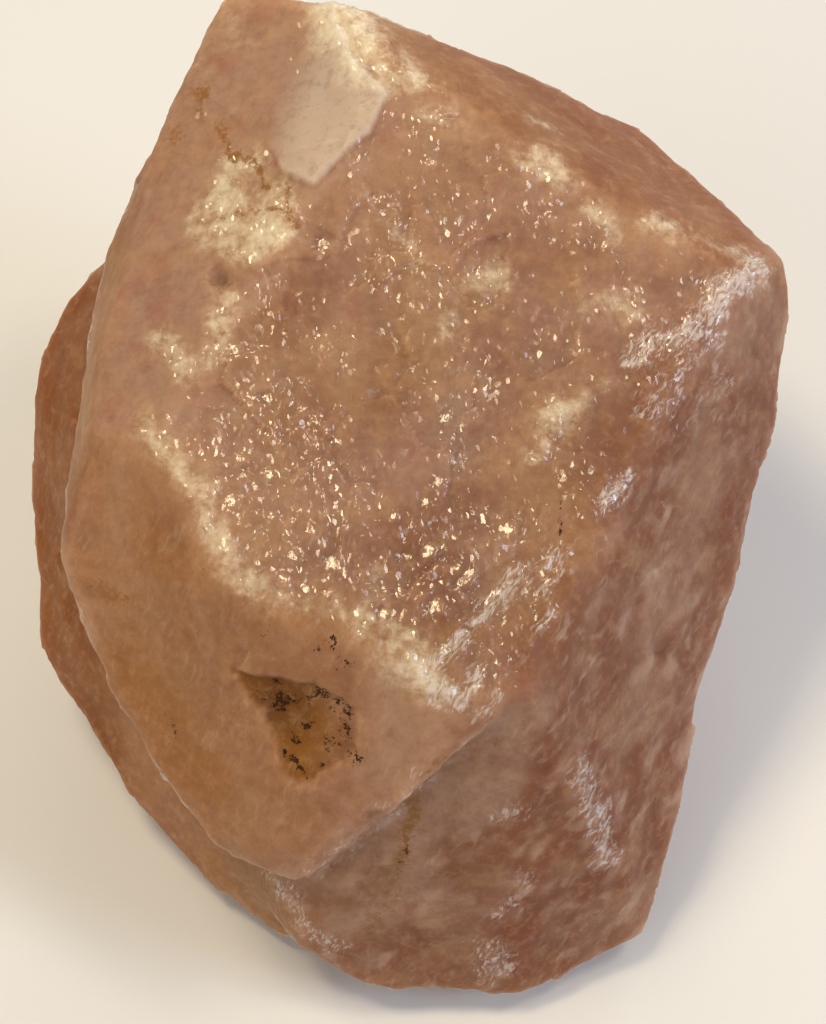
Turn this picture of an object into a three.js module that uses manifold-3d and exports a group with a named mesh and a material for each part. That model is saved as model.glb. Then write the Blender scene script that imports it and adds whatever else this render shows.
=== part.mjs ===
// A rough chunk of rose quartz, broken from a vein and resting on one flat fracture.
// Millimetres, +Z up, origin under the middle of the stone on the surface that it rests on.
import * as THREE from "three";
import { ConvexGeometry } from "three/addons/geometries/ConvexGeometry.js";
import { ImprovedNoise } from "three/addons/math/ImprovedNoise.js";
import { TessellateModifier } from "three/addons/modifiers/TessellateModifier.js";
import { mergeVertices } from "three/addons/utils/BufferGeometryUtils.js";
import Module from "manifold-3d";

const wasm = await Module();
wasm.setup();

// Driving dimensions.
const LEAN = 30; // degrees that the broad face leans back from upright
const BASE_DEPTH = 36; // how far the resting fracture lies under the middle of the broad face
const FACET_EDGE = 4.4; // longest edge left once the fractures are divided for their relief
const SWELL = { height: 0.75, wavelength: 17 }; // slow waviness of a fracture
const CHIP = { height: 0.45, wavelength: 7.5 }; // short unevenness on top of it
const BASE_KEEP = 3; // the relief fades out over this height, so that the base stays flat
const BALL_DETAIL = 4; // how finely the balls that leave the scars are divided
const BLOCK = 200; // larger than the stone on every side

// Corners are given facing the broad fracture: x to the right, y up it, z out of it.
// Each body below is the convex stone between its corners, and the chunk is their union.

// The ridge between the broad face and the dark side, shared by both bodies.
const ridge = [
  [32, 23, 10],
  [10.5, -16.5, 20],
];

// The hidden side: the far edge of the crest, the wall behind it and the resting fracture.
const crestLeft = [[-24, 39, -18]];
const crestRight = [
  [-2, 43, -23],
  [19, 36, -21],
  [34, 20, -19],
];
const wallLeft = [
  [-31, 22, -30],
  [4, 31, -38],
];
const wallRight = [[31, 9, -32]];
const restingRight = [
  [-4, -47, -16],
  [12, -48, -15],
  [21, -41, -19],
  [25, -24, -29],
  [23, -6, -39],
];
const restingLeft = [
  [8, 6, -46],
  [-12, 7, -46],
  [-25, -6, -39],
  [-28, -22, -30],
  [-19, -38, -21],
];

// The proud front block: the broad glittering face, the stained face under it on the left,
// the pale shoulder over it on the left and the dull band along the crest.
const frontBlock = [
  // round the broad face, from the crest down the left to the ridge
  [2.5, 38, 8],
  [-23.5, 6, 16.4],
  [-16, -7, 19.1],
  [-4, -12, 20],
  [2.5, -16.5, 20.3],
  // the lower edge, which stands proud of the dark side
  [1.5, -25, 17],
  [-11, -37, 8],
  [-19.5, -33.5, 6],
  // the left edge, which stands proud of the ledge
  [-29.5, -17.5, 7],
  [-34, -4.5, 9],
  [-30.5, 8, 12],
  [-28.5, 20.5, 7],
  [-31.5, 25.5, -3],
  // the crest
  [-29, 31.5, -2],
  [-26.5, 37, 0],
  [-22.5, 44, -1],
  [-19, 53, -4],
  [-7, 51.5, 1.5],
  [-2.5, 44.5, 6.5],
  [3, 47, -6],
  [13.5, 42, -6],
  [24, 40, -8],
  [33.5, 30, -1],
  [37.5, 25, 3],
  // feet of the two proud walls, which run straight back to the resting fracture
  [9, -15, -30],
  [-9, -33, -22],
  [-19, -30, -24],
  [-28, -17, -31],
  [-31, -4, -30],
  [-28, 20, -24],
];

// The dark side: two steep fractures to the right of the front block and below it.
const darkSide = [
  [37.5, 24.5, 2.5],
  [38.3, 19, 1],
  [35.5, 8.5, 0],
  [32.5, -3.5, -1],
  [29.5, -14, -4],
  [28, -25, -7],
  [24.5, -44.5, -11],
  [11, -50, -8.5],
  [-5, -49, -7],
  [-11.5, -43.5, -3],
  [-12.5, -37, 1],
  [-18, -38, -10],
];

// The ledge that runs down the left, well behind the front block.
const leftLedge = [
  [-30, 27, -12],
  [-37.5, 22, -16],
  [-40, 16, -17],
  [-41, 6.5, -18],
  [-40.5, -15, -18],
  [-31, -28.5, -16],
  [-21, -40, -14],
  [-13, -45, -12],
  // where it runs in under the front block
  [-27, 22, -7],
  [-32, 2, -4],
  [-27, -18, -5],
  [-12, -36, -4],
  [-4, -40, -10],
];

// Shell-like scars left by spalls that have gone: the ball that each would fit, at its centre.
const scars = [
  { at: [-18, -29.5, 31], radius: 17 }, // shallow hollow in the stained face
  { at: [-22, 42, 26], radius: 19 }, // rough pale hollow on the shoulder
  { at: [50, -7, 8], radius: 18 }, // dip in the right edge
  { at: [46, -38, 4], radius: 20 }, // dip low on the right
  { at: [34, -62, 12], radius: 26 }, // bite in the lower edge
  { at: [24, 70, 16], radius: 35 }, // scar on the crest
  { at: [16, 62, -58], radius: 42 }, // large scar behind
  { at: [-66, -2, -50], radius: 34 }, // scar behind the ledge
  { at: [60, 0, -44], radius: 32 }, // scar low on the right
];

function solidOf(geometry) {
  const bare = geometry.clone();
  bare.deleteAttribute("normal");
  bare.deleteAttribute("uv");
  const merged = mergeVertices(bare, 1e-4);
  return new wasm.Manifold(
    new wasm.Mesh({
      numProp: 3,
      vertProperties: merged.attributes.position.array,
      triVerts: new Uint32Array(merged.index.array),
    }),
  );
}

function geometryOf(solid) {
  const mesh = solid.getMesh();
  return new THREE.BufferGeometry()
    .setAttribute("position", new THREE.BufferAttribute(mesh.vertProperties, 3))
    .setIndex(new THREE.BufferAttribute(mesh.triVerts, 1));
}

function hullOf(...cornerLists) {
  const corners = cornerLists.flat().map((corner) => new THREE.Vector3(...corner));
  return solidOf(new ConvexGeometry(corners));
}

function ballSolid({ at, radius }) {
  const ball = new THREE.IcosahedronGeometry(radius, BALL_DETAIL);
  ball.translate(...at);
  return solidOf(ball);
}

// The broken stone turned to rest: its broad face leans back and its base is cut flat.
function brokenStone() {
  let stone = hullOf(ridge, frontBlock, crestLeft, crestRight, wallLeft)
    .add(hullOf(ridge, darkSide, crestRight, wallLeft, wallRight, restingRight, restingLeft))
    .add(hullOf(leftLedge, crestLeft, wallLeft, restingLeft));
  for (const scar of scars) stone = stone.subtract(ballSolid(scar));
  const turned = geometryOf(stone);
  turned.rotateX(THREE.MathUtils.degToRad(LEAN));
  turned.translate(0, 0, BASE_DEPTH);
  const aboveBase = new THREE.BoxGeometry(BLOCK, BLOCK, BLOCK);
  aboveBase.translate(0, 0, BLOCK / 2);
  return geometryOf(solidOf(turned).intersect(solidOf(aboveBase)));
}

// Smooth noise between -1 and 1, with bumps of the given wavelength.
const noise = new ImprovedNoise();
function waviness(point, { height, wavelength }, seed) {
  const p = point.clone().divideScalar(wavelength);
  return height * noise.noise(p.x + seed, p.y - seed, p.z + 2 * seed);
}

// Divides the fractures and moves their points in and out, except on the flat base.
function withRelief(geometry) {
  const divided = new TessellateModifier(FACET_EDGE, 12).modify(geometry.toNonIndexed());
  const skin = mergeVertices(divided, 1e-3);
  skin.computeVertexNormals();
  const { position, normal } = skin.attributes;
  const point = new THREE.Vector3();
  const outward = new THREE.Vector3();
  for (let i = 0; i < position.count; i++) {
    point.fromBufferAttribute(position, i);
    outward.fromBufferAttribute(normal, i);
    const fade = THREE.MathUtils.smoothstep(point.z, 0, BASE_KEEP);
    const height = waviness(point, SWELL, 3.1) + waviness(point, CHIP, 7.7);
    point.addScaledVector(outward, fade * height);
    position.setXYZ(i, point.x, point.y, point.z);
  }
  skin.deleteAttribute("normal");
  return skin;
}

function roseQuartzChunk() {
  const geometry = withRelief(brokenStone());
  geometry.computeBoundingBox();
  const middle = geometry.boundingBox.getCenter(new THREE.Vector3());
  geometry.translate(-middle.x, -middle.y, 0);
  const roseQuartz = new THREE.MeshStandardMaterial({
    color: "#b98a6f",
    roughness: 0.35,
    metalness: 0,
  });
  const mesh = new THREE.Mesh(geometry, roseQuartz);
  mesh.name = "rose_quartz_chunk";
  return mesh;
}

const stone = new THREE.Group();
stone.add(roseQuartzChunk());
export default stone;
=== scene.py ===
from math import radians

import bmesh
import bpy
import numpy as np
from mathutils import Matrix, Vector, noise


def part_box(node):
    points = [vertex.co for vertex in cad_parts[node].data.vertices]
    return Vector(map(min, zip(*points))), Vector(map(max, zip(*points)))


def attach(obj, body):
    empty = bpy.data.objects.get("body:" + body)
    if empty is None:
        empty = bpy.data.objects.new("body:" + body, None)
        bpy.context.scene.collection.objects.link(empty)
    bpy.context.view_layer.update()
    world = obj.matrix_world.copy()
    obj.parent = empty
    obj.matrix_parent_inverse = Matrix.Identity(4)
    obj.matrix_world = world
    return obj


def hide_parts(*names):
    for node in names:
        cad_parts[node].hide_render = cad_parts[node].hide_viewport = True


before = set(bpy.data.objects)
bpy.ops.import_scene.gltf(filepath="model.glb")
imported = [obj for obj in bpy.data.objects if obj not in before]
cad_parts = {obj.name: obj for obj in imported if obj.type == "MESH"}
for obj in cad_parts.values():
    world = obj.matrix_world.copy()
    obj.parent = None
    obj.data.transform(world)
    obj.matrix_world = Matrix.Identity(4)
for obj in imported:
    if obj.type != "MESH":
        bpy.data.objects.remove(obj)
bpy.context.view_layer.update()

# ---------------------------------------------------------------------------------------------
# Measures. Lengths are in millimetres unless a name says otherwise; MM turns them to metres.
# ---------------------------------------------------------------------------------------------

MM = 0.001
SKIN_CELL = 0.66  # the skin is divided this finely, and twice as finely where it glitters
EDGE_WEAR_PASSES = 10  # smoothing passes: fracture edges end up rounded to about 1.5 mm
CRISP_EDGE_PASSES = 3  # the lower edge of the front block is fresher, and sharper
SOFT_RIDGE_PASSES = 50  # the ridge by the right wall and the tip below are worn soft
CRISP_EDGE_REACH = 2.5  # the fresh edge keeps its sharpness this far to each side
SOFT_RIDGE_REACH = 6.0
WORN_TIP_REACH = 4.0
LEAN = radians(30)  # the broad face leans back this far from upright
FACE_ORIGIN = Vector((1.6, -4.9, 36))  # under the broad face, from the middle of the base

# Places on the stone are given facing its broad fracture: across it to the right, up it, and out
# of it, from a point in the stone under the middle of the broad face.
low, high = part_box("rose_quartz_chunk")
middle = (low + high) / 2
face_middle = Vector((middle.x, middle.y, low.z)) + FACE_ORIGIN * MM
face_turn = Matrix.Rotation(LEAN, 3, "X")

# Which way the main fractures face, in those axes.
BROAD_FACE = (0.05, 0.22, 0.97)
STAINED_FACE = (-0.37, -0.29, 0.88)
SHOULDER = (-0.38, 0.41, 0.83)
CREST_BAND = (0.38, 0.81, 0.45)
RIGHT_WALL = (0.8, -0.3, 0.5)
LOWER_WALL = (0.05, -0.72, 0.69)


def linear(hex_colour):
    """The linear colour of an sRGB hex value, with full alpha."""
    parts = [int(hex_colour[i:i + 2], 16) / 255 for i in (1, 3, 5)]
    return [c / 12.92 if c <= 0.04045 else ((c + 0.055) / 1.055) ** 2.4 for c in parts] + [1.0]


def smoothstep(low_edge, high_edge, value):
    """0 at the low edge and 1 at the high edge, with a soft start and end."""
    t = np.clip((value - low_edge) / (high_edge - low_edge), 0.0, 1.0)
    return t * t * (3.0 - 2.0 * t)


# ---------------------------------------------------------------------------------------------
# The skin of the stone: the CAD solid with worn edges, divided finely enough to carve.
# ---------------------------------------------------------------------------------------------

def fine_skin(cad_object, name):
    """A new object with a fine, evenly divided copy of a CAD node's surface."""
    merged = bmesh.new()
    merged.from_mesh(cad_object.data)
    bmesh.ops.remove_doubles(merged, verts=merged.verts, dist=0.001 * MM)
    coarse = bpy.data.meshes.new(name)
    merged.to_mesh(coarse)
    merged.free()
    piece = bpy.data.objects.new(name, coarse)
    bpy.context.scene.collection.objects.link(piece)
    remesh = piece.modifiers.new("even_cells", "REMESH")
    remesh.mode = "VOXEL"
    remesh.voxel_size = SKIN_CELL * MM
    remesh.use_smooth_shade = True
    depsgraph = bpy.context.evaluated_depsgraph_get()
    piece.data = bpy.data.meshes.new_from_object(piece.evaluated_get(depsgraph))
    piece.modifiers.clear()
    return piece


def wear_edges(mesh, passes, chosen=None):
    """Smooths the mesh, or only the chosen points."""
    worn = bmesh.new()
    worn.from_mesh(mesh)
    worn.verts.ensure_lookup_table()
    points = worn.verts if chosen is None else [worn.verts[i] for i in np.flatnonzero(chosen)]
    for _ in range(passes):
        bmesh.ops.smooth_vert(
            worn, verts=points, factor=0.5, use_axis_x=True, use_axis_y=True, use_axis_z=True
        )
    worn.to_mesh(mesh)
    worn.free()
    mesh.update()


def divide_again(mesh, chosen):
    """Halves the cells between the chosen points."""
    finer = bmesh.new()
    finer.from_mesh(mesh)
    finer.verts.ensure_lookup_table()
    edges = [e for e in finer.edges if all(chosen[v.index] for v in e.verts)]
    bmesh.ops.subdivide_edges(finer, edges=edges, cuts=1, use_grid_fill=True)
    finer.to_mesh(mesh)
    finer.free()
    mesh.update()


def read(mesh, name):
    """One vector for every point of the mesh: its place or its normal."""
    values = np.empty(len(mesh.vertices) * 3)
    mesh.vertices.foreach_get(name, values)
    return values.reshape(-1, 3)


def on_face_axes(points):
    """Stone coordinates in metres, as millimetres across, up and out of the broad face."""
    return (points - np.array(face_middle)) @ np.array(face_turn) / MM


def distance_to(points, start, end):
    """How far each point is from a straight line between two places."""
    start, end = np.array(start, float), np.array(end, float)
    run = end - start
    t = np.clip(((points - start) @ run) / (run @ run), 0.0, 1.0)
    return np.linalg.norm(points - start - t[:, None] * run, axis=1)


def near_path(points, path):
    """How far each point is from a path through several places."""
    return np.min([distance_to(points, a, b) for a, b in zip(path, path[1:])], axis=0)


def depth_inside(points, outline):
    """How far each point is inside a closed outline; less than 0 outside it."""
    closed = outline + outline[:1]
    inside = np.zeros(len(points), bool)
    for (ax, ay), (bx, by) in zip(closed, closed[1:]):
        if ay == by:
            continue
        crosses = (points[:, 1] > min(ay, by)) & (points[:, 1] <= max(ay, by))
        inside ^= crosses & (points[:, 0] < ax + (points[:, 1] - ay) * (bx - ax) / (by - ay))
    return np.where(inside, 1.0, -1.0) * near_path(points, closed)


# The part of the front that shows the finest relief: the broad face, the pale shoulder above it
# and the stained hollow below it.
FINE_AREA = [(-26, 8), (-24, 26), (-17, 38), (-8, 51), (3, 41), (14, 37), (32, 26), (34, 20),
             (22, 4), (12, -12), (3, -21), (-6, -27), (-17, -24), (-19, -12)]

stone = fine_skin(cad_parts["rose_quartz_chunk"], "rose_quartz_stone")
wear_edges(stone.data, CRISP_EDGE_PASSES)
place = on_face_axes(read(stone.data, "co"))
from_crisp_edge = near_path(place, [(10.5, -16.5, 20), (1.5, -25, 17), (-5, -31, 12.5)])
from_worn_tip = near_path(place, [(-5, -31, 12.5), (-11, -37, 8), (-17, -34.5, 6.5)])
from_soft_ridge = near_path(place, [(30, 19, 10), (21, 4, 15), (13, -10, 19)])
wear_edges(stone.data, EDGE_WEAR_PASSES, from_crisp_edge > CRISP_EDGE_REACH)
worn_soft = (from_soft_ridge < SOFT_RIDGE_REACH) | (from_worn_tip < WORN_TIP_REACH)
wear_edges(stone.data, SOFT_RIDGE_PASSES, worn_soft)
facing = read(stone.data, "normal") @ np.array(face_turn)
divide_again(stone.data, (depth_inside(place[:, :2], FINE_AREA) > 0.0) & (facing[:, 2] > 0.4))

at = read(stone.data, "co")
outward = read(stone.data, "normal")
count = len(at)

# Where each point is and which way it faces, in the broad face's own axes.
place = on_face_axes(at)
facing = outward @ np.array(face_turn)
across, up, out = place.T
height = at[:, 2] / MM  # above the surface that the stone rests on


# The grain of the quartz leans to the right as it goes up, along the right ridge.
grain_lean = Matrix.Rotation(radians(40), 3, "Z")
along_grain = place @ np.array(grain_lean.transposed())


def lumps(size, octaves=1, stretch=(1, 1, 1), seed=0.0, axes=place):
    """Smooth noise of about -1 to 1 at every point, with lumps of that size."""
    scaled = axes / (size * np.array(stretch)) + seed
    return np.array([noise.fractal(p, 0.9, 2.0, octaves) for p in scaled.tolist()])


def toward(direction, edge=0.82, full=0.96):
    """1 on the skin that faces a direction, 0 on the skin that doesn't."""
    unit = np.array(direction) / np.linalg.norm(direction)
    return smoothstep(edge, full, facing @ unit)


on_broad_face = toward(BROAD_FACE, 0.88, 0.97)
on_stained_face = toward(STAINED_FACE)
on_shoulder = toward(SHOULDER)
on_crest_band = toward(CREST_BAND)
on_walls = np.clip(toward(RIGHT_WALL) + toward(LOWER_WALL), 0.0, 1.0)
front = smoothstep(0.05, 0.3, facing[:, 2])
hidden = 1.0 - front
on_ledge = smoothstep(-3.0, -8.0, out) * smoothstep(-12.0, -22.0, across) * front
above_base = smoothstep(0.2, 2.5, height)  # the relief fades out, so the base stays flat

# Fractures never end on a clean line, so every outline below is drawn on wandering axes.
wander_across = 1.1 * lumps(5.0, 4, seed=11.0)
wander_up = 1.1 * lumps(5.0, 4, seed=23.0)


def wandering(share):
    """Places across and up the front, with that share of the wander."""
    return np.stack([across + share * wander_across, up + share * wander_up], axis=1)


def line(path, width, wander=1.0):
    """1 on a line drawn through places on the front, fading to 0 at width from it."""
    return front * (1.0 - smoothstep(0.0, width, near_path(wandering(wander), path)))


def patch(outline, blend, wander=1.0):
    """1 inside a closed outline on the front, 0 outside it, changing over blend."""
    return front * smoothstep(-blend / 2, blend / 2, depth_inside(wandering(wander), outline))


def spot(centre, radius, wander=0.5):
    """1 at a place on the front, fading to 0 at radius from it."""
    away = np.linalg.norm(wandering(wander) - np.array(centre), axis=1)
    return front * (1.0 - smoothstep(0.0, radius, away))


def any_of(*shares):
    """The largest of several shares at every point."""
    return np.clip(np.maximum.reduce(shares), 0.0, 1.0)


edge_ends = np.empty(len(stone.data.edges) * 2, np.int32)
stone.data.edges.foreach_get("vertices", edge_ends)
edge_ends = edge_ends.reshape(-1, 2)
neighbours = np.bincount(edge_ends.ravel(), minlength=count)


def spread_out(share, passes):
    """Lets a share bleed over the skin: about one cell in 2 passes, and ten cells in 200."""
    first, second = edge_ends.T
    for _ in range(passes):
        from_sides = np.bincount(first, share[second], count)
        from_sides += np.bincount(second, share[first], count)
        share = (share + from_sides / neighbours) / 2.0
    return share


# ---------------------------------------------------------------------------------------------
# What is on the stone, as shares from 0 to 1.
# ---------------------------------------------------------------------------------------------

clouds = lumps(6.0, 4, seed=91.0)  # where a place is dense or thin

# A thin pale layer lies on the shoulder and ends at a crisp step above the broad face.
thin_layer = patch(
    [(-8, 52), (-6, 44.5), (-2.3, 40.5), (-4.5, 36.5), (-7.1, 33.9), (-9.8, 31.4), (-12, 32.5),
     (-14.2, 35.5), (-16, 42), (-16, 46), (-16, 52)], 0.5, 0.4
)
thin_layer *= smoothstep(-15.0, -9.5, across - 0.3 * (up - 38.0))  # it is flush along its left side

# Frosted places, where the quartz is crushed into fine white grains.
shoulder_frost = patch(
    [(-18, 36), (-15.6, 35.3), (-13.8, 33.4), (-11.7, 32.2), (-10.7, 29), (-11.3, 26.2),
     (-15.2, 23.5), (-17.4, 24.3), (-21.5, 25.8), (-22.4, 28.1), (-20.7, 30.7), (-19.1, 33.8)], 2.4
)
shoulder_frost *= 1.0 - 0.5 * smoothstep(-18.0, -23.0, across + 0.6 * (up - 30.0))
hollow = spot((-18.6, 22.6), 1.6, 0.0)  # a small deep scar below that frost
crest_frost = patch(
    [(-10.5, 54), (-5, 54), (-3, 48), (-0.5, 44.5), (2.5, 41), (-2.3, 40.5), (-4.2, 41.5),
     (-5.8, 40.8), (-7.4, 43.1), (-8.5, 45), (-10.8, 46.5)], 3.6
)
# Along the crest edge the pale line is partly crushed quartz and partly a painted highlight.
crest_edge_frost_and_highlight = any_of(
    line([(9.5, 35.2), (12.5, 34), (15, 32)], 3.0), 0.5 * line([(1, 38.5), (6, 36.5), (10, 35)], 1.8),
    0.6 * line([(15, 31.5), (18, 29), (19.5, 26.5)], 2.6), 0.8 * line([(23, 28), (26, 26.8)], 2.2),
    0.55 * line([(26, 27), (29, 25.3), (33, 25)], 2.0),
)
stain_edge_frost = any_of(
    0.7 * line([(-24.5, 7.5), (-22, 4.5), (-19.7, 2.3)], 3.0),
    0.8 * line([(-19.5, 2), (-18.6, -2.2), (-17, -5)], 2.4),
    0.95 * line([(-17, -5), (-15.2, -7.3), (-12.6, -8)], 2.8),
    0.5 * line([(-12.6, -8), (-9, -8.5), (-5, -10.5)], 2.4),
)
lower_frost = any_of(line([(-3.5, -11), (-1, -13.5), (1.5, -15)], 4.2),
                     0.5 * line([(-4, -9), (-3, -6)], 2.4))
left_frost = line([(-24.5, 16.5), (-21.5, 13.6), (-19, 14.5), (-18.6, 17.5), (-17.5, 20)], 2.2)
fluffy_frost = any_of(spot((13.7, 9.2), 3.4, 1.0),
                      0.6 * line([(11, 5), (13.7, 9.2), (16.5, 11), (18.8, 12.5)], 2.0))
# The crest itself is crushed, and its frost goes on over the edge and down behind.
over_crest = hidden * (1.0 - smoothstep(3.0, 10.0, near_path(
    place + 1.5 * (wander_across + wander_up)[:, None], [(-17, 50, -3), (-8, 52, 0), (-1, 46, 3)]
)))
small_frost = any_of(
    0.8 * line([(16.5, 19.5), (19, 20.5), (21.5, 18.5)], 1.8), 0.5 * spot((21, 20.5), 2.4),
    0.65 * line([(3.5, 16.5), (4, 19.5), (6.5, 21.5), (8.5, 22.8)], 2.4),
    0.5 * line([(-4, 30), (-1.5, 27), (1, 23.5)], 2.0), 0.7 * line([(11.5, 38.7), (14, 38)], 1.2),
    0.4 * line([(-18.5, 50), (-15.5, 45.5)], 2.2, 1.6), 0.3 * line([(-22, 45), (-19.5, 41)], 1.6, 1.6),
)
# The frosted places, together with the painted highlight along the crest edge.
warm_frost_and_highlight = any_of(shoulder_frost, crest_frost, crest_edge_frost_and_highlight, stain_edge_frost, lower_frost,
                    0.8 * left_frost, fluffy_frost, small_frost, 0.8 * over_crest)
warm_frost_and_highlight = spread_out(warm_frost_and_highlight * np.clip(0.95 + 0.9 * lumps(3.4, 3, seed=181.0), 0.3, 1.0), 6)
frost_and_highlight_glow = spread_out(warm_frost_and_highlight, 60)  # the milky quartz round a frosted place is paler too, and so is the quartz round the painted highlight on the crest edge

# Along the right ridge and on the walls the crushed quartz is thinner, and looks cooler. Along the right
# ridge its pale bluish colour is partly a painted reflection of the bluish light from the right.
ridge_frost_and_reflection = any_of(
    line([(33.5, 23.5), (31, 21.6), (28.5, 19.5)], 2.6, 1.6),
    0.9 * line([(28.5, 19.5), (25, 17), (22, 15)], 2.0, 1.6),
    0.5 * line([(29, 17), (25, 13.5), (22.3, 9)], 1.8, 1.6), 0.3 * line([(30, 13), (26, 8)], 2.0, 1.6),
    0.8 * line([(20.5, 3.2), (18.3, 0.8)], 1.5), 0.8 * line([(11, -5.6), (8.5, -7.8), (5.4, -10.2)], 1.6),
    0.9 * line([(4.8, -11.5), (1.6, -15.2), (3.6, -18), (6, -14.5)], 1.6),
    0.6 * line([(8, -16.8), (6, -19)], 1.3), 0.6 * line([(12.8, -9), (11.2, -10.6)], 1.2),
    0.5 * line([(15, -3), (12, -7)], 1.6, 1.6), 0.3 * line([(1, -25), (-4, -30.5), (-10, -36)], 1.6, 1.6),
)
wall_frost = any_of(
    0.8 * line([(15.5, -24), (17.5, -28.5), (19, -31.5), (19.8, -35)], 2.2, 1.6),
    0.7 * spot((8.5, -46), 4.6, 1.5), 0.6 * line([(10.5, -36), (8.5, -41)], 2.0, 1.6),
    0.7 * line([(-13.5, -37.5), (-11.4, -41.5), (-8, -44.5)], 2.4, 1.4),
    0.6 * line([(10.7, -28.5), (8, -29.5)], 2.2), 0.6 * spot((-3.1, -27.6), 1.3),
)
# All the pale bluish frost, which along the right ridge also carries a painted reflection.
cool_frost_and_reflection = any_of(
    ridge_frost_and_reflection, 0.75 * wall_frost,
    0.45 * hidden * smoothstep(0.2, 0.9, lumps(9.0, 4, (1.0, 2.0, 1.5), 131.0, along_grain)),
)

# Some parts of the broad face are clearer and deeper, and one on the left is full of haze.
clear_quartz = any_of(
    spot((5, 1), 5.5, 1.6), 0.5 * spot((10, -11), 5.0, 1.6), spot((17.5, 4.5), 7.0, 2.0),
    spot((9, 26), 6.0, 1.6), spot((-9, 21), 4.5, 1.6),
    0.8 * line([(-8, 30), (-12, 17)], 2.4, 1.4), 0.7 * line([(24, 22), (16, 25)], 3.0, 1.6),
    0.3 * patch([(-25, 4), (-20, -6), (-15, -12), (-22, -10), (-27, -2)], 3.0, 1.6),
)
haze = patch([(-20, 14), (-9, 14), (-6, 2), (-9, -6), (-17, -4), (-20, 4)], 7.0, 2.0)

# Soft pale veils, which lie inside the milky quartz.
veil = any_of(
    0.8 * patch([(26, 15), (30, 22), (36, 28), (38, 22), (34, 14)], 6.0, 1.6),
    0.7 * line([(27, -2), (24.6, -8.5), (22.7, -14), (22.3, -21)], 4.6, 2.2),
    0.8 * line([(30, 9), (28, 1)], 4.5, 2.0), 0.5 * line([(17, -14), (15.8, -20)], 2.4, 1.6),
    0.75 * patch([(12.5, -14.5), (12, -20), (9.5, -30.5), (4, -32), (-0.5, -29), (3, -24), (8, -18)],
                2.2, 1.2),
    0.8 * patch([(0.5, -31), (4, -34), (1, -40), (-8, -45), (-9, -40), (-3, -37)], 4.0, 1.6),
    0.5 * line([(16, -43), (24, -40)], 4.0, 2.0),
    0.8 * line([(-34, 16), (-35.5, 13)], 3.0), 0.6 * line([(-36.5, 8), (-37, 5)], 2.5),
    0.8 * line([(-33.4, -3), (-32, -7.3), (-31, -9.2), (-29.5, -13)], 2.0),
    0.9 * line([(-18, 48), (-14.5, 46)], 2.6, 1.4), 0.6 * line([(-21, 43), (-17.5, 40)], 2.4, 1.4),
    0.45 * line([(-24, 30), (-25, 24)], 3.0),
    0.6 * line([(-27, 12), (-28, 5), (-27.5, -4)], 1.8), 0.5 * line([(-20.5, -7), (-19.5, -14)], 1.4),
    0.45 * line([(-30.5, -6), (-22, -7)], 0.9), 0.5 * line([(-15, -27), (-12, -33), (-9, -35)], 2.4, 1.8),
    0.5 * line([(-8, -27), (-3, -24), (0, -23)], 1.6, 1.6),
    0.7 * line([(-1, -27), (-7, -33), (-12, -37)], 3.6, 2.0),
    0.6 * hidden * smoothstep(0.0, 0.6, lumps(13.0, 4, seed=151.0)),
    # soft pale spots a millimetre or two across
    on_walls * smoothstep(0.35, 0.65, lumps(2.0, 2, (1.0, 1.6, 1.0), 221.0, along_grain)),
)

# Soft smears lie along the grain of the walls on the right.
smear_pattern = smoothstep(0.1, 0.5, lumps(1.5, 3, (1.0, 2.6, 1.8), 161.0, along_grain))
smears = on_walls * smear_pattern * smoothstep(-0.4, 0.3, lumps(8.0, 2, seed=171.0))

# Iron stains: a yellow film in the hollows and cracks and down the left edge.
stained_pit = patch(
    [(-17, -15.2), (-13.4, -15.6), (-10, -16.2), (-6.2, -18), (-4.8, -22.2), (-5.8, -23.8),
     (-9, -24.4), (-11, -26), (-13, -24), (-13.4, -22.5), (-14, -19.4), (-15.3, -17.7)], 0.9, 0.9
)
# The stain thins out to the right.
pit_stain = smoothstep(-5.0, -10.0, across + 0.5 * (up + 20.0)) * np.clip(0.85 + 0.7 * clouds, 0.4, 1.0)
iron = any_of(
    line([(-18.8, 37), (-17.6, 35.6), (-14, 33), (-13.3, 31.6)], 0.55, 1.2),
    0.9 * line([(-11.9, 31.3), (-11.6, 28.5)], 0.5),
    line([(-13.5, 29.2), (-12, 28.8), (-10.8, 27.3)], 0.55),
    0.55 * line([(-18.8, 28.2), (-13.5, 29.2)], 0.7, 1.2),
    0.95 * spot((-21.5, 42), 1.9), 0.9 * spot((-21.1, 39.8), 1.1), 0.8 * spot((-19, 37.7), 1.3),
    0.6 * spot((-23.7, 37.5), 2.4), 0.55 * line([(-20.4, 22.3), (-18.6, 21), (-17, 22.4)], 0.8, 0.3),
    0.9 * spot((-18.4, 16.8), 1.0), 0.6 * line([(-10.6, 21), (-11, 18.5)], 0.5),
    0.5 * line([(-30.5, -6.5), (-28.5, -7.8)], 1.8), 0.5 * line([(-33.8, 6), (-32.4, 5)], 1.2),
    0.85 * line([(-0.2, -28), (-0.8, -31.5), (-1.6, -34.6)], 1.6),
    0.4 * line([(-1.5, -35.4), (-2.8, -38.6), (-3.5, -43)], 2.4),
    0.35 * line([(-5, -35), (-1.5, -36)], 1.4),
    0.6 * hidden * smoothstep(0.3, 0.75, lumps(7.0, 4, seed=141.0)),
)
yellow_strip = any_of(
    0.8 * patch([(-29.5, -12), (-27, -12.5), (-24, -15.5), (-21, -20), (-18.5, -25), (-18, -28),
                 (-23, -28), (-30, -17)], 3.0, 1.2),
    0.4 * smoothstep(0.0, 0.5, clouds) * on_stained_face * smoothstep(-14.0, -24.0, across),
)
ledge_rust = on_ledge * smoothstep(-26.0, -34.0, across) * (0.75 + 0.5 * np.clip(clouds, -0.5, 0.5))

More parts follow.
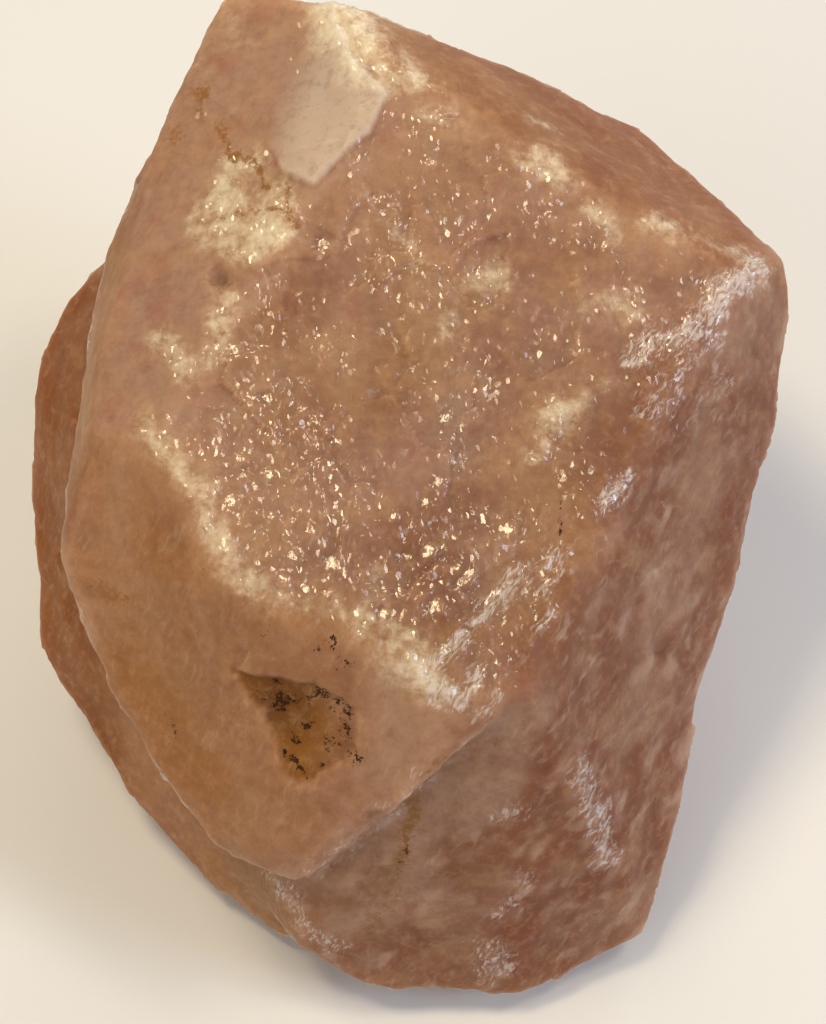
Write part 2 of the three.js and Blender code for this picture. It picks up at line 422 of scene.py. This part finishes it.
# Black dendrites of manganese in the stained pit, with a few specks and dark cracks round it.
dendrite = any_of(
    0.9 * spot((-12.2, -18.2), 2.3), 0.5 * spot((-14.0, -17.8), 1.8), 0.75 * spot((-13.1, -16.4), 0.9),
    0.6 * spot((-10.1, -17.9), 0.8), spot((-10.1, -20.3), 0.8), spot((-11.2, -21.6), 0.9),
    0.9 * line([(-12.8, -23.0), (-11.4, -23.7)], 0.7), 0.8 * line([(-11.0, -24.0), (-10.0, -24.8)], 0.6),
    0.6 * spot((-8.7, -23.7), 1.2), 0.62 * line([(-9.4, -17.3), (-7.0, -18.6), (-6.2, -21.4)], 2.2, 1.2),
    0.7 * spot((-8.0, -21.8), 1.5), 0.7 * spot((-6.5, -21.7), 1.5), 0.75 * spot((-5.2, -23.2), 1.6),
    0.7 * line([(-13.9, -11.2), (-13.2, -11.0)], 0.5), 0.6 * spot((-8.7, -13.1), 1.0),
    0.75 * line([(-8.0, -12.5), (-7.2, -13.5)], 0.4), 0.65 * spot((-6.3, -14.1), 1.4),
    0.4 * spot((-10.3, -14.0), 0.6), 0.5 * spot((-4.8, -17.6), 0.5), 0.4 * spot((-16.4, -18.6), 0.6),
    0.5 * spot((-3.2, -26.8), 0.7), 0.45 * spot((-2.2, -25.9), 0.8), 0.5 * spot((-18.4, -3.2), 0.5),
    0.45 * spot((-19.2, -5.4), 0.6), 0.5 * spot((-20.6, -12.0), 0.5), 0.5 * spot((-13.5, 4.1), 0.4),
    0.5 * spot((-6.2, 11.1), 0.4), 0.7 * line([(13.8, 0.6), (13.9, -1.6)], 0.5),
    0.8 * line([(-1, -32), (-1.5, -35.2)], 0.6), 0.5 * line([(-24, -19), (-22.7, -21.8)], 0.7),
)

# Fine pale splinters, which are densest along the right ridge.
streaked = any_of(
    0.75 * patch([(8, -14), (17, -4), (24, 6), (21, 14), (31, 26), (36, 24), (34, 12), (26, -6),
                  (14, -20)], 7.0, 1.6),
    0.4 * on_walls, 0.35 * on_stained_face, 0.3 * hidden, 0.15 * on_shoulder,
) * smoothstep(-0.55, 0.35, lumps(5.0, 3, seed=201.0))

# Where the broken surface is fresh and glitters.
glitter_bands = any_of(
    line([(-6.5, 35), (-3, 30), (0, 25), (2, 20.5)], 3.2, 1.4), line([(0, 38), (2, 34)], 2.4),
    patch([(-22, 8), (-14, 14), (-9, 12), (-4, 2), (-3, -8), (-9, -8), (-15, -6), (-19, 0)], 4.0, 1.6),
    patch([(-6, -5), (4, 2), (12, -1), (9, -6), (2, -12), (-5, -10)], 3.0, 1.4),
    line([(1, 11.5), (4.5, 9.5), (4, 4)], 2.6), line([(11, 29), (18, 26), (22, 20)], 2.6, 1.6),
    line([(-14, 21), (-16, 13)], 3.0, 1.4),
)
sparkle = any_of(
    0.85 * glitter_bands, 0.95 * left_frost, ridge_frost_and_reflection, 0.95 * warm_frost_and_highlight, 0.5 * wall_frost,
    on_broad_face * (0.2 + 0.45 * smoothstep(-0.2, 0.4, clouds)), 0.1 * front,
    0.9 * hidden * smoothstep(-0.4, 0.2, clouds),
)
sparkle *= 1.0 - 0.7 * thin_layer * (1.0 - crest_frost)
sparkle *= 1.0 - 0.85 * stained_pit

# Larger glassy flakes on the broad face: the centre and radius of each. They broke along one
# plane, whose normal leans this much across and up, so they flash together.
FLAKE_PLANE = np.array((-0.17, 0.317))
glassy_flakes = [
    ((2.2, -8.3), 1.4), ((-0.8, -7.4), 0.9), ((-2.3, -9.4), 1.0), ((-8.2, -7.4), 0.8),
    ((-7.3, -4.6), 1.2), ((-1.8, -0.9), 0.9), ((1.5, 0.7), 0.9), ((3.3, 8.8), 1.0), ((2.7, 3.1), 0.9),
    ((-13.8, 11.0), 1.0), ((-13.8, 7.5), 0.8), ((-16.1, 4.8), 0.9), ((-13.6, 3.3), 0.8),
    ((-16.8, 0.8), 1.0), ((-13.3, -0.5), 0.9), ((-11.1, -4.3), 1.0), ((-12.3, -6.3), 0.9),
    ((5.4, -5.8), 1.2), ((1.7, -3.5), 1.1), ((8.7, -1.8), 1.0), ((1.6, 33.8), 1.0),
    ((-3.6, 30.1), 0.9), ((-8.8, 25.4), 1.0), ((6.3, 22.6), 1.1), ((-17.0, 15.2), 1.0),
]
flake = np.zeros(count)
flake_height = np.zeros(count)  # from the fracture out to each flake's plane
out_of_reach = 1e6 * (front < 0.5)  # so that no flake is measured from the hidden side
for centre, radius in glassy_flakes:
    from_centre = place[:, :2] - np.array(centre)
    nearest = np.argmin((from_centre ** 2).sum(axis=1) + out_of_reach)
    slope_here = facing[nearest, :2] / facing[nearest, 2]
    covered = smoothstep(0.0, 0.35, spot(centre, radius, 0.6))
    flake_height += covered * (from_centre @ (slope_here - FLAKE_PLANE))
    flake = np.maximum(flake, covered)
sparkle = np.maximum(sparkle, flake)

# ---------------------------------------------------------------------------------------------
# Relief, in millimetres outward.
# ---------------------------------------------------------------------------------------------

THIN_LAYER_STEP = 0.5
PIT_DEPTH = 0.5
HOLLOW_DEPTH = 1.1
FLUFF_HEIGHT = 0.35

swell = 0.26 * lumps(11.0, 2, seed=3.0)
# Small ledges where the fracture jumps from one level to the next.
levels = 2.6 * lumps(10.0, 3, (1.0, 1.7, 1.0), seed=41.0)
ledges = np.floor(levels) + smoothstep(0.3, 0.7, levels - np.floor(levels)) - levels
ledges *= 0.08 + 0.08 * on_broad_face + 0.3 * hidden
# Low ripples run up the broad face, and gather its glints in chains.
ripples = 0.1 * lumps(2.6, 2, (0.8, 4.5, 2.0), seed=211.0) * any_of(on_broad_face, 0.7 * hidden)
streaks = 0.12 * lumps(3.2, 2, (0.8, 3.6, 1.6), seed=71.0) * any_of(on_walls, on_stained_face)
crushed = 0.15 * np.abs(lumps(1.7, 3, seed=83.0)) * any_of(warm_frost_and_highlight, cool_frost_and_reflection)


def broken_chips(size, slope, stretch, seed):
    """Flat chips of about that size, each tilted its own way."""
    raised = np.empty(count)
    for i, p in enumerate((place / (size * np.array(stretch)) + seed).tolist()):
        chip_middle = noise.voronoi(p)[1][0]
        tilt = noise.cell_vector(chip_middle * 17.0) - Vector((0.5, 0.5, 0.5))
        raised[i] = (Vector(p) - chip_middle).dot(tilt)
    return raised * size * slope


chips = broken_chips(2.2, 0.1, (0.8, 1.5, 1.0), 5.0) * smoothstep(0.15, 0.8, sparkle)
flakes = broken_chips(5.5, 0.09, (1.0, 1.3, 1.0), 9.0) * (0.5 + 0.5 * on_broad_face + 1.5 * hidden)
wall_chips = broken_chips(3.2, 0.11, (1.0, 1.5, 1.0), 13.0) * any_of(on_walls, hidden, on_ledge)

relief = swell + ledges + ripples + streaks + crushed + chips + flakes + wall_chips
relief = relief * (1.0 - flake) + flake_height
relief += THIN_LAYER_STEP * thin_layer + FLUFF_HEIGHT * fluffy_frost
relief -= PIT_DEPTH * stained_pit + HOLLOW_DEPTH * hollow
at += outward * (relief * above_base * MM)[:, None]
stone.data.vertices.foreach_set("co", at.ravel())
stone.data.update()

# ---------------------------------------------------------------------------------------------
# Colour, laid on in layers from the body of the quartz outwards.
# ---------------------------------------------------------------------------------------------

# The walls are painted redder and darker, partly their own tone and partly painted shade; this fades out
# over their edges, into the sides beyond.
wall_tone_and_shade = spread_out(np.maximum(on_walls, 0.35 * hidden), 200)
colour = np.tile(np.array(linear("#875a3c")), (count, 1))
for tint, share in [
    ("#997047", smoothstep(-0.4, 0.45, lumps(12.0, 4, seed=101.0))),  # milky clouds
    ("#a07049", 0.35 * smoothstep(6.0, -22.0, across) * front),  # warmer and paler on the left: partly the stone's own tone, partly painted light from the yellowish key on that side
    ("#92644b", 0.5 * smoothstep(2.0, 24.0, across) * front),  # pinker on the right: partly the stone's own tone, partly a painted tint of the bluish light from that side
    # redder, darker walls: partly their own tone, partly painted shade
    ("#80442b", 0.75 * wall_tone_and_shade),
    ("#8a5334", 0.5 * on_crest_band),
    ("#a67660", 0.55 * hidden),
    ("#ab8f82", 0.55 * on_shoulder),
    ("#a0675a", 0.4 * on_shoulder * smoothstep(0.1, 0.5, lumps(4.0, 3, seed=231.0))),  # pinker here
    ("#b78f76", 0.4 * on_broad_face * smoothstep(16.0, 30.0, up)),  # hazier towards the crest
    ("#b48663", 0.45 * on_stained_face),
    ("#b59a88", 0.4 * on_stained_face * smoothstep(-7.0, -2.0, across)),
    ("#b08661", 0.35 * smoothstep(0.05, 0.6, lumps(4.6, 4, seed=111.0))),  # finer, paler clouds
    ("#7e4e34", 0.5 * clear_quartz),
    ("#b48d64", 0.2 * haze),
    ("#87573f", 0.25 * smoothstep(0.05, 0.6, lumps(5.2, 3, seed=121.0))),  # clear, darker quartz
    # paler round the frost, and round the painted highlight on the crest edge
    ("#c4a179", 0.75 * frost_and_highlight_glow),
    ("#c2a08c", 0.6 * spread_out(smears, 2)),
    ("#c8b8a8", 0.75 * thin_layer),
    ("#b08c74", veil * (0.6 + 0.5 * np.clip(clouds, -0.5, 0.5))),
    ("#9c692f", 0.7 * yellow_strip),
    ("#8f5a04", 0.95 * stained_pit * pit_stain),
    ("#633600", 0.75 * stained_pit * spot((-12.5, -18.0), 5.5)),  # deepest at the upper left
    ("#80470c", 0.88 * ledge_rust),
    ("#8a4a05", 0.6 * on_ledge * smoothstep(-36.5, -40.0, across)),  # rustiest along its edge
]:
    colour += (np.array(linear(tint)) - colour) * share[:, None]

paint = stone.data.attributes.new("body_colour", "FLOAT_COLOR", "POINT")
paint.data.foreach_set("color", colour.astype(np.float32).ravel())
for name, share in {
    "warm_frost_and_highlight": warm_frost_and_highlight, "cool_frost_and_reflection": cool_frost_and_reflection, "iron": iron, "dendrite": dendrite,
    "sparkle": sparkle, "streaked": streaked, "flake": flake,
}.items():
    layer = stone.data.attributes.new(name, "FLOAT", "POINT")
    layer.data.foreach_set("value", share.astype(np.float32))

# ---------------------------------------------------------------------------------------------
# Material
# ---------------------------------------------------------------------------------------------


def add(tree, kind, inputs=None, **settings):
    """A new node with its settings; an input is given a value or another node's output."""
    made = tree.nodes.new(kind)
    for name, value in settings.items():
        setattr(made, name, value)
    for key, value in (inputs or {}).items():
        if isinstance(value, bpy.types.NodeSocket):
            tree.links.new(value, made.inputs[key])
        else:
            made.inputs[key].default_value = value
    return made


def chip_tilts(tree, placed, steepness, freshness):
    """Chips one cell across: which way each tilts, and how clean and glassy it is."""
    draw = add(tree, "ShaderNodeTexVoronoi", {"Vector": placed, "Scale": 1.0}).outputs["Color"]
    tilt = add(tree, "ShaderNodeVectorMath", {0: draw, 1: (0.5, 0.5, 0.5)},
               operation="SUBTRACT").outputs[0]
    tilt = add(tree, "ShaderNodeVectorMath", {0: tilt, 1: steepness},
               operation="MULTIPLY").outputs[0]
    chance = add(tree, "ShaderNodeVectorMath", {0: draw, 1: (37.0, 53.0, 19.0)},
                 operation="DOT_PRODUCT").outputs["Value"]
    chance = add(tree, "ShaderNodeMath", {0: chance}, operation="FRACT").outputs[0]
    chance = add(tree, "ShaderNodeMath", {0: chance, 1: freshness}, operation="ADD").outputs[0]
    clean = add(tree, "ShaderNodeMapRange", {"Value": chance, "From Min": 1.0,
                "From Max": 1.3}).outputs[0]
    return tilt, clean


QUARTZ_IOR = 1.544


def broken_rose_quartz():
    """Massive rose quartz, broken by hand: milky and softly lit from inside, satin where worn,
    and glassy on small fresh chips, which flash one by one."""
    material = bpy.data.materials.new("rose_quartz_broken")
    material.use_nodes = True
    tree = material.node_tree
    tree.nodes.clear()
    coords = add(tree, "ShaderNodeTexCoord").outputs["Object"]
    body = add(tree, "ShaderNodeAttribute", attribute_name="body_colour").outputs["Color"]
    # The frost attributes also carry painted light: a highlight along the crest edge, and a reflection of
    # the bluish light along the right ridge.
    warm_frost_highlight_share = add(tree, "ShaderNodeAttribute", attribute_name="warm_frost_and_highlight").outputs["Fac"]
    cool_frost_reflection_share = add(tree, "ShaderNodeAttribute", attribute_name="cool_frost_and_reflection").outputs["Fac"]
    iron_film = add(tree, "ShaderNodeAttribute", attribute_name="iron").outputs["Fac"]
    manganese = add(tree, "ShaderNodeAttribute", attribute_name="dendrite").outputs["Fac"]
    glitter = add(tree, "ShaderNodeAttribute", attribute_name="sparkle").outputs["Fac"]
    streaked = add(tree, "ShaderNodeAttribute", attribute_name="streaked").outputs["Fac"]
    flake = add(tree, "ShaderNodeAttribute", attribute_name="flake").outputs["Fac"]

    # Grains from 1.3 mm down to 0.2 mm across, which also break up every soft outline.
    grain = add(tree, "ShaderNodeTexNoise", {"Vector": coords, "Scale": 1 / (1.3 * MM),
                "Detail": 3.0, "Roughness": 0.7}).outputs["Fac"]
    paler = add(tree, "ShaderNodeMapRange", {"Value": grain, "From Min": 0.5, "From Max": 0.8,
                "To Max": 0.4}).outputs[0]
    colour = add(tree, "ShaderNodeMix", {0: paler, 6: body, 7: linear("#c69c79")},
                 data_type="RGBA").outputs[2]
    darker = add(tree, "ShaderNodeMapRange", {"Value": grain, "From Min": 0.5, "From Max": 0.2,
                 "To Max": 0.4}).outputs[0]
    colour = add(tree, "ShaderNodeMix", {0: darker, 6: colour, 7: linear("#7a482f")},
                 data_type="RGBA").outputs[2]

    # Splinters and chips are crooked: they follow places bent to and fro by about a fifth of a
    # millimetre.
    bend = add(tree, "ShaderNodeTexNoise", {"Vector": coords, "Scale": 1 / (1.2 * MM),
               "Detail": 0.0}).outputs["Color"]
    bent = add(tree, "ShaderNodeVectorMath", {0: bend, 1: (0.7 * MM, 0.7 * MM, 0.7 * MM),
               2: coords}, operation="MULTIPLY_ADD").outputs[0]

    # Splinters 0.6 mm wide and 2.6 mm long, which lean along the right ridge.
    splinter_place = add(tree, "ShaderNodeMapping", {"Vector": bent, "Rotation": (LEAN, 0, -0.65),
                         "Scale": (0.6 * MM, 2.6 * MM, 1.6 * MM)}, vector_type="TEXTURE").outputs[0]
    splinters = add(tree, "ShaderNodeTexNoise", {"Vector": splinter_place, "Scale": 1.0,
                    "Detail": 2.0, "Roughness": 0.6}).outputs["Fac"]
    splinter_share = add(tree, "ShaderNodeMapRange", {"Value": splinters, "From Min": 0.54,
                         "From Max": 0.76, "To Max": 0.7}).outputs[0]
    splinter_share = add(tree, "ShaderNodeMath", {0: splinter_share, 1: streaked},
                         operation="MULTIPLY").outputs[0]
    colour = add(tree, "ShaderNodeMix", {0: splinter_share, 6: colour, 7: linear("#cbb5a3")},
                 data_type="RGBA").outputs[2]

    # Crumbs 0.6 mm across and finer, and fibres 0.3 mm wide and 1 mm long along the same lean.
    crumbs = add(tree, "ShaderNodeTexNoise", {"Vector": coords, "Scale": 1 / (0.6 * MM),
                 "Detail": 4.0, "Roughness": 0.8}).outputs["Fac"]
    fibre_place = add(tree, "ShaderNodeMapping", {"Vector": bent, "Rotation": (LEAN, 0, -0.65),
                      "Scale": (0.3 * MM, 1.0 * MM, 0.7 * MM)}, vector_type="TEXTURE").outputs[0]
    fibres = add(tree, "ShaderNodeTexNoise", {"Vector": fibre_place, "Scale": 1.0,
                 "Detail": 3.0, "Roughness": 0.65}).outputs["Fac"]

    # Each film is dense in the middle of its places and scattered at their edges: cream crushed quartz,
    # which also carries a painted highlight along the crest edge; bluish-white crushed quartz in fibres,
    # which along the right ridge is partly a painted reflection of the light from the right; yellow-brown
    # iron; and black manganese, which is dull.
    for share, pattern, contrast, start, end, thin, tint, full in (
        (warm_frost_highlight_share, grain, 1.8, 1.0, 2.5, 0.35, "#e8dfc8", 0.92),
        (cool_frost_reflection_share, fibres, 4.0, 2.2, 3.4, 0.35, "#e0d8d3", 0.7),
        (iron_film, crumbs, 3.2, 1.85, 2.6, 0.3, "#8d5c12", 0.85),
        (manganese, crumbs, 4.0, 2.6, 2.85, 0.1, "#331300", 0.95),
    ):
        spread = add(tree, "ShaderNodeMath", {0: pattern, 1: contrast, 2: share},
                     operation="MULTIPLY_ADD").outputs[0]
        dense = add(tree, "ShaderNodeMapRange", {"Value": spread, "From Min": start, "From Max": end,
                    "To Max": full}, interpolation_type="SMOOTHSTEP").outputs[0]
        edge = add(tree, "ShaderNodeMapRange", {"Value": share, "From Max": thin}).outputs[0]
        dense = add(tree, "ShaderNodeMath", {0: dense, 1: edge}, operation="MULTIPLY").outputs[0]
        colour = add(tree, "ShaderNodeMix", {0: dense, 6: colour, 7: linear(tint)},
                     data_type="RGBA").outputs[2]
    dull = add(tree, "ShaderNodeMapRange", {"Value": dense, "To Min": 0.5, "To Max": 0.95}).outputs[0]

    # Fresh chips, each with its own tilt: small ones 0.3 mm by 0.6 mm, and larger ones 0.6 mm by
    # 1.6 mm, which point along the right ridge.
    freshness = add(tree, "ShaderNodeMath", {0: glitter, 1: 0.95}, operation="MULTIPLY").outputs[0]
    small_place = add(tree, "ShaderNodeMapping", {"Vector": bent, "Rotation": (LEAN, 0, 0.2),
                      "Scale": (0.3 * MM, 0.6 * MM, 0.45 * MM)}, vector_type="TEXTURE").outputs[0]
    small_tilt, small_clean = chip_tilts(tree, small_place, (0.75, 0.5, 0.5), freshness)
    large_place = add(tree, "ShaderNodeMapping", {"Vector": bent, "Rotation": (LEAN, 0, -0.7),
                      "Scale": (0.6 * MM, 1.6 * MM, 1.0 * MM)}, vector_type="TEXTURE").outputs[0]
    along_ridge = add(tree, "ShaderNodeMath", {0: cool_frost_reflection_share, 1: 0.5}, operation="MULTIPLY").outputs[0]
    rarer = add(tree, "ShaderNodeMath", {0: freshness, 1: 0.4, 2: along_ridge},
                operation="MULTIPLY_ADD").outputs[0]
    large_tilt, large_clean = chip_tilts(tree, large_place, (0.7, 0.5, 0.5), rarer)
    clean = add(tree, "ShaderNodeMath", {0: small_clean, 1: large_clean},
                operation="MAXIMUM").outputs[0]
    clean = add(tree, "ShaderNodeMath", {0: clean, 1: flake}, operation="MAXIMUM").outputs[0]
    large_wins = add(tree, "ShaderNodeMath", {0: large_clean, 1: small_clean},
                     operation="GREATER_THAN").outputs[0]
    tilt = add(tree, "ShaderNodeMix", {0: large_wins, 4: small_tilt, 5: large_tilt},
               data_type="VECTOR").outputs[1]
    # The larger flakes are nearly flat.
    uneven = add(tree, "ShaderNodeMapRange", {"Value": flake, "To Min": 1.0, "To Max": 0.2}).outputs[0]
    tilt = add(tree, "ShaderNodeVectorMath", {0: tilt, "Scale": uneven}, operation="SCALE").outputs[0]
    skin = add(tree, "ShaderNodeNewGeometry").outputs["Normal"]
    tilted = add(tree, "ShaderNodeVectorMath", {0: skin, 1: tilt}, operation="ADD").outputs[0]
    tilted = add(tree, "ShaderNodeVectorMath", {0: tilted}, operation="NORMALIZE").outputs[0]

    # Between them the surface steps down in shells, whose rims catch the light as short strokes.
    shell_place = add(tree, "ShaderNodeMapping", {"Vector": coords, "Rotation": (LEAN, 0, 0),
                      "Scale": (2.2 * MM, 4 * MM, 3 * MM)}, vector_type="TEXTURE").outputs[0]
    shell = add(tree, "ShaderNodeTexNoise", {"Vector": shell_place, "Scale": 1.0, "Detail": 2.0,
                "Roughness": 0.6}).outputs["Fac"]
    shell = add(tree, "ShaderNodeMath", {0: shell, 1: 6.0}, operation="MULTIPLY").outputs[0]
    beyond = add(tree, "ShaderNodeMath", {0: shell}, operation="FRACT").outputs[0]
    level = add(tree, "ShaderNodeMath", {0: shell, 1: beyond}, operation="SUBTRACT").outputs[0]
    rim = add(tree, "ShaderNodeMapRange", {"Value": beyond, "From Min": 0.38, "From Max": 0.62},
              interpolation_type="SMOOTHSTEP").outputs[0]
    steps = add(tree, "ShaderNodeMath", {0: level, 1: rim}, operation="ADD").outputs[0]
    rise = add(tree, "ShaderNodeMath", {0: glitter, 1: 0.03 * MM}, operation="MULTIPLY").outputs[0]
    rise = add(tree, "ShaderNodeMath", {0: cool_frost_reflection_share, 1: 0.06 * MM, 2: rise},
               operation="MULTIPLY_ADD").outputs[0]
    shells = add(tree, "ShaderNodeMath", {0: steps, 1: rise}, operation="MULTIPLY").outputs[0]
    glassy = add(tree, "ShaderNodeBump", {"Height": shells, "Normal": tilted,
                 "Distance": 1.0, "Strength": 1.0})

    # The worn surface between the chips is satin, with a fine grain.
    satin = add(tree, "ShaderNodeMath", {0: grain, 1: 0.09 * MM}, operation="MULTIPLY").outputs[0]
    satin = add(tree, "ShaderNodeBump", {"Height": satin, "Distance": 1.0, "Strength": 1.0})
    shader = add(tree, "ShaderNodeBsdfPrincipled", {
        "Base Color": colour, "Roughness": dull, "IOR": QUARTZ_IOR, "Normal": satin.outputs[0],
        "Specular IOR Level": 0.22,
        "Subsurface Weight": 1.0, "Subsurface Radius": (1.0, 0.8, 0.65),
        "Subsurface Scale": 7.0 * MM,
        "Coat Weight": clean, "Coat Roughness": 0.17, "Coat IOR": QUARTZ_IOR,
        "Coat Normal": glassy.outputs[0],
    })
    add(tree, "ShaderNodeOutputMaterial", {"Surface": shader.outputs[0]})
    return material


stone.data.materials.clear()
stone.data.materials.append(broken_rose_quartz())
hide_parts("rose_quartz_chunk")
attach(stone, "root")

# ---------------------------------------------------------------------------------------------
# Floor, light and camera
# ---------------------------------------------------------------------------------------------


def pale_floor():
    """A matt painted board, pale and plain."""
    material = bpy.data.materials.new("white_painted_board")
    material.use_nodes = True
    shader = material.node_tree.nodes["Principled BSDF"]
    shader.inputs["Base Color"].default_value = linear("#e6e7e9")
    shader.inputs["Roughness"].default_value = 0.8
    bm = bmesh.new()
    bmesh.ops.create_grid(bm, x_segments=1, y_segments=1, size=3.0)
    mesh = bpy.data.meshes.new("floor")
    bm.to_mesh(mesh)
    bm.free()
    floor = bpy.data.objects.new("floor", mesh)
    floor.location.z = low.z
    mesh.materials.append(material)
    bpy.context.scene.collection.objects.link(floor)


def softbox(name, direction, distance, size, watts, colour):
    """A square light that shines on the stone from a direction."""
    lamp = bpy.data.lights.new(name, "AREA")
    lamp.shape = "SQUARE"
    lamp.size = size
    lamp.energy = watts
    lamp.color = linear(colour)[:3]
    holder = bpy.data.objects.new(name, lamp)
    away = Vector(direction).normalized()
    holder.location = face_middle + away * distance
    holder.rotation_euler = away.to_track_quat("Z", "Y").to_euler()
    bpy.context.scene.collection.objects.link(holder)


pale_floor()
softbox("key_softbox", (-0.3, 0.1, 0.94), 0.6, 0.16, 1.9, "#ffe9bf")
softbox("top_softbox", (0.45, 0.1, 0.88), 0.6, 0.12, 0.7, "#fff3dc")
softbox("front_left_softbox", (-0.6, -0.6, 0.6), 0.8, 0.6, 1.6, "#fff5e4")
softbox("rear_softbox", (0.2, 0.9, 0.45), 0.8, 0.5, 1.6, "#fffaf4")
softbox("cool_window", (0.85, -0.25, 0.45), 0.7, 0.23, 1.75, "#dfe9ff")

world = bpy.data.worlds.new("studio")
bpy.context.scene.world = world
world.use_nodes = True
world.node_tree.nodes["Background"].inputs["Color"].default_value = linear("#f5f4f2")
world.node_tree.nodes["Background"].inputs["Strength"].default_value = 0.22
bpy.context.scene.view_settings.view_transform = "Standard"

# The camera faces the broad fracture squarely, from a short distance.
VIEW_DISTANCE = 260.0
VIEW_HEIGHT = 102.4  # of the stone's plane that fills the picture from top to bottom
camera = bpy.data.objects.new("camera", bpy.data.cameras.new("camera"))
camera.data.lens = camera.data.sensor_width * VIEW_DISTANCE / VIEW_HEIGHT
camera.matrix_world = (
    Matrix.Translation(face_middle)
    @ face_turn.to_4x4()
    @ Matrix.Translation((0.0, 0.0, VIEW_DISTANCE * MM))
)
bpy.context.scene.collection.objects.link(camera)
bpy.context.scene.camera = camera
